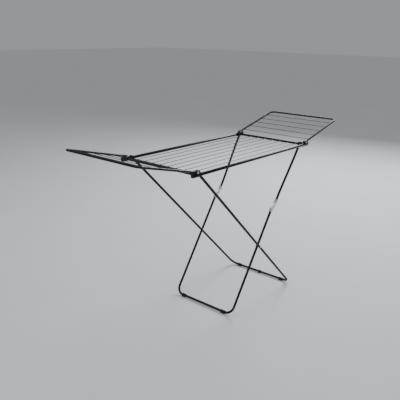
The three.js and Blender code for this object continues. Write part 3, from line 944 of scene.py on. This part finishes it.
def joggled_tube(top, knee, down, eye_y, knee_y):
    """An upper inner leg: straight at both ends, and joggled inwards between them."""
    start = EYE_NECK + GAP
    end = (knee - top).length - KNEE_GAP
    spots = ((start, eye_y), (start + JOGGLE_STRAIGHT, eye_y), (end - JOGGLE_STRAIGHT, knee_y), (end, knee_y))
    route = Route([top + down * along + Y * y for along, y in spots], JOGGLE_BEND)
    crimp = [Mark(LEG_CRIMP, 0.0025, -0.0007)]
    return bar(route, down.cross(Y), LEG_RADIUS, bore=LEG_RADIUS - TUBE_WALL, marks=crimp)


def inner_leg():
    top, knee, foot, upper_down, lower_up, on_lower = knee_lines()
    side_y = middle("knee_upper_yoke_far").y
    eye_low, eye_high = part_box("inner_leg_upper_eye_far")
    eye_y = eye_low.y + EYE_WIDTH / 2
    for side, sign in SIDES:
        tube = joggled_tube(top, knee, upper_down, sign * eye_y, sign * side_y)
        fine(tube, f"inner_leg_upper_tube_{side}")
        eye = leg_eye(top, upper_down, eye_y, eye_high.y)
        fine(moved(eye, flip(1, sign)), f"inner_leg_upper_eye_{side}", weighted=True)
        upper = yoke(0.0, -0.00001, 0.009, 0.023)
        place = on_tube(knee, -upper_down, sign * side_y, False)
        fine(moved(upper, place), f"knee_upper_yoke_{side}", weighted=True)
        lower = yoke(KNEE_OFFSET, 0.0016, 0.007, 0.017)
        place = on_tube(on_lower, lower_up, sign * side_y, True)
        fine(moved(lower, place), f"knee_lower_yoke_{side}", weighted=True)
        reach = 2 * YOKE_SHEET + 0.0007
        pin = headed_pin(Vector((knee.x, sign * side_y, knee.z)), -reach, reach, 0.0027, 0.0058)
        fine(pin, f"knee_rivet_{side}")
        rivet = f"crossing_rivet_inner_{side}"
        fine(crossing_half(rivet, -1), rivet)
        fine(foot_pad(f"inner_leg_foot_{side}"), f"inner_leg_foot_{side}", weighted=True)
    loop_top = on_lower - lower_up * KNEE_GAP
    fine(leg_loop(loop_top, foot, side_y, -lower_up), "inner_leg_lower_frame")


# --- Floor, light and camera ------------------------------------------------------------------

def floor():
    made = Nodes("floor")
    cloud = made.between(made.noise(1.5, 4), 0.3, 0.7)
    made.colour(made.mixed(cloud, (0.83, 0.84, 0.85), (0.86, 0.87, 0.88)))
    made.steady(Roughness=0.7)
    half = 40.0
    corners = [Vector((x, y, 0)) for x, y in ((-half, -half), (half, -half), (half, half), (-half, half))]
    plane = blank(corners, [(0, 1, 2, 3)])
    plane.name = "floor"
    plane.data.materials.append(made.material)


def softbox(name, place, aim, width, height, power, colour):
    lamp = bpy.data.lights.new(name, "AREA")
    lamp.shape = "RECTANGLE"
    lamp.size, lamp.size_y = width, height
    lamp.energy = power
    lamp.color = colour
    box = bpy.data.objects.new(name, lamp)
    box.location = place
    box.rotation_euler = (aim - place).to_track_quat("-Z", "Y").to_euler()
    bpy.context.scene.collection.objects.link(box)


def lights():
    aim = Vector((0, 0, 0.8))
    softbox("top", Vector((0.2, 0.6, 3.6)), aim, 3.0, 2.2, 30, (1.0, 0.99, 0.97))
    softbox("window", Vector((4.6, 0.9, 3.4)), aim, 2.8, 2.0, 200, (0.95, 0.98, 1.0))
    softbox("front", Vector((-3.6, -1.2, 3.0)), aim, 2.4, 2.0, 24, (1.0, 0.98, 0.95))
    world = bpy.data.worlds.new("studio")
    world.use_nodes = True
    back = world.node_tree.nodes["Background"]
    back.inputs["Color"].default_value = (0.80, 0.83, 0.86, 1)
    back.inputs["Strength"].default_value = 0.40
    bpy.context.scene.world = world


def camera():
    """The camera stands in front of the near left corner, a little above the deck."""
    place = Vector((-2.6274, -2.0538, 1.7533))
    heading, dip, roll = math.radians(49.69), math.radians(17.58), math.radians(0.82)
    lens, sensor = 48.05, 36.0
    ahead = Vector((
        math.sin(heading) * math.cos(dip), math.cos(heading) * math.cos(dip), -math.sin(dip)))
    level = Vector((math.cos(heading), -math.sin(heading), 0))
    upright = level.cross(ahead)
    right = level * math.cos(roll) + upright * math.sin(roll)
    up = right.cross(ahead)
    data = bpy.data.cameras.new("camera")
    data.lens = lens
    data.sensor_width = sensor
    view = bpy.data.objects.new("camera", data)
    view.matrix_world = Matrix((
        (right.x, up.x, -ahead.x, place.x), (right.y, up.y, -ahead.y, place.y),
        (right.z, up.z, -ahead.z, place.z), (0, 0, 0, 1),
    ))
    bpy.context.scene.collection.objects.link(view)
    bpy.context.scene.camera = view


deck()
corner_brackets()
wing("left")
wing("right")
outer_leg()
inner_leg()
floor()
lights()
camera()
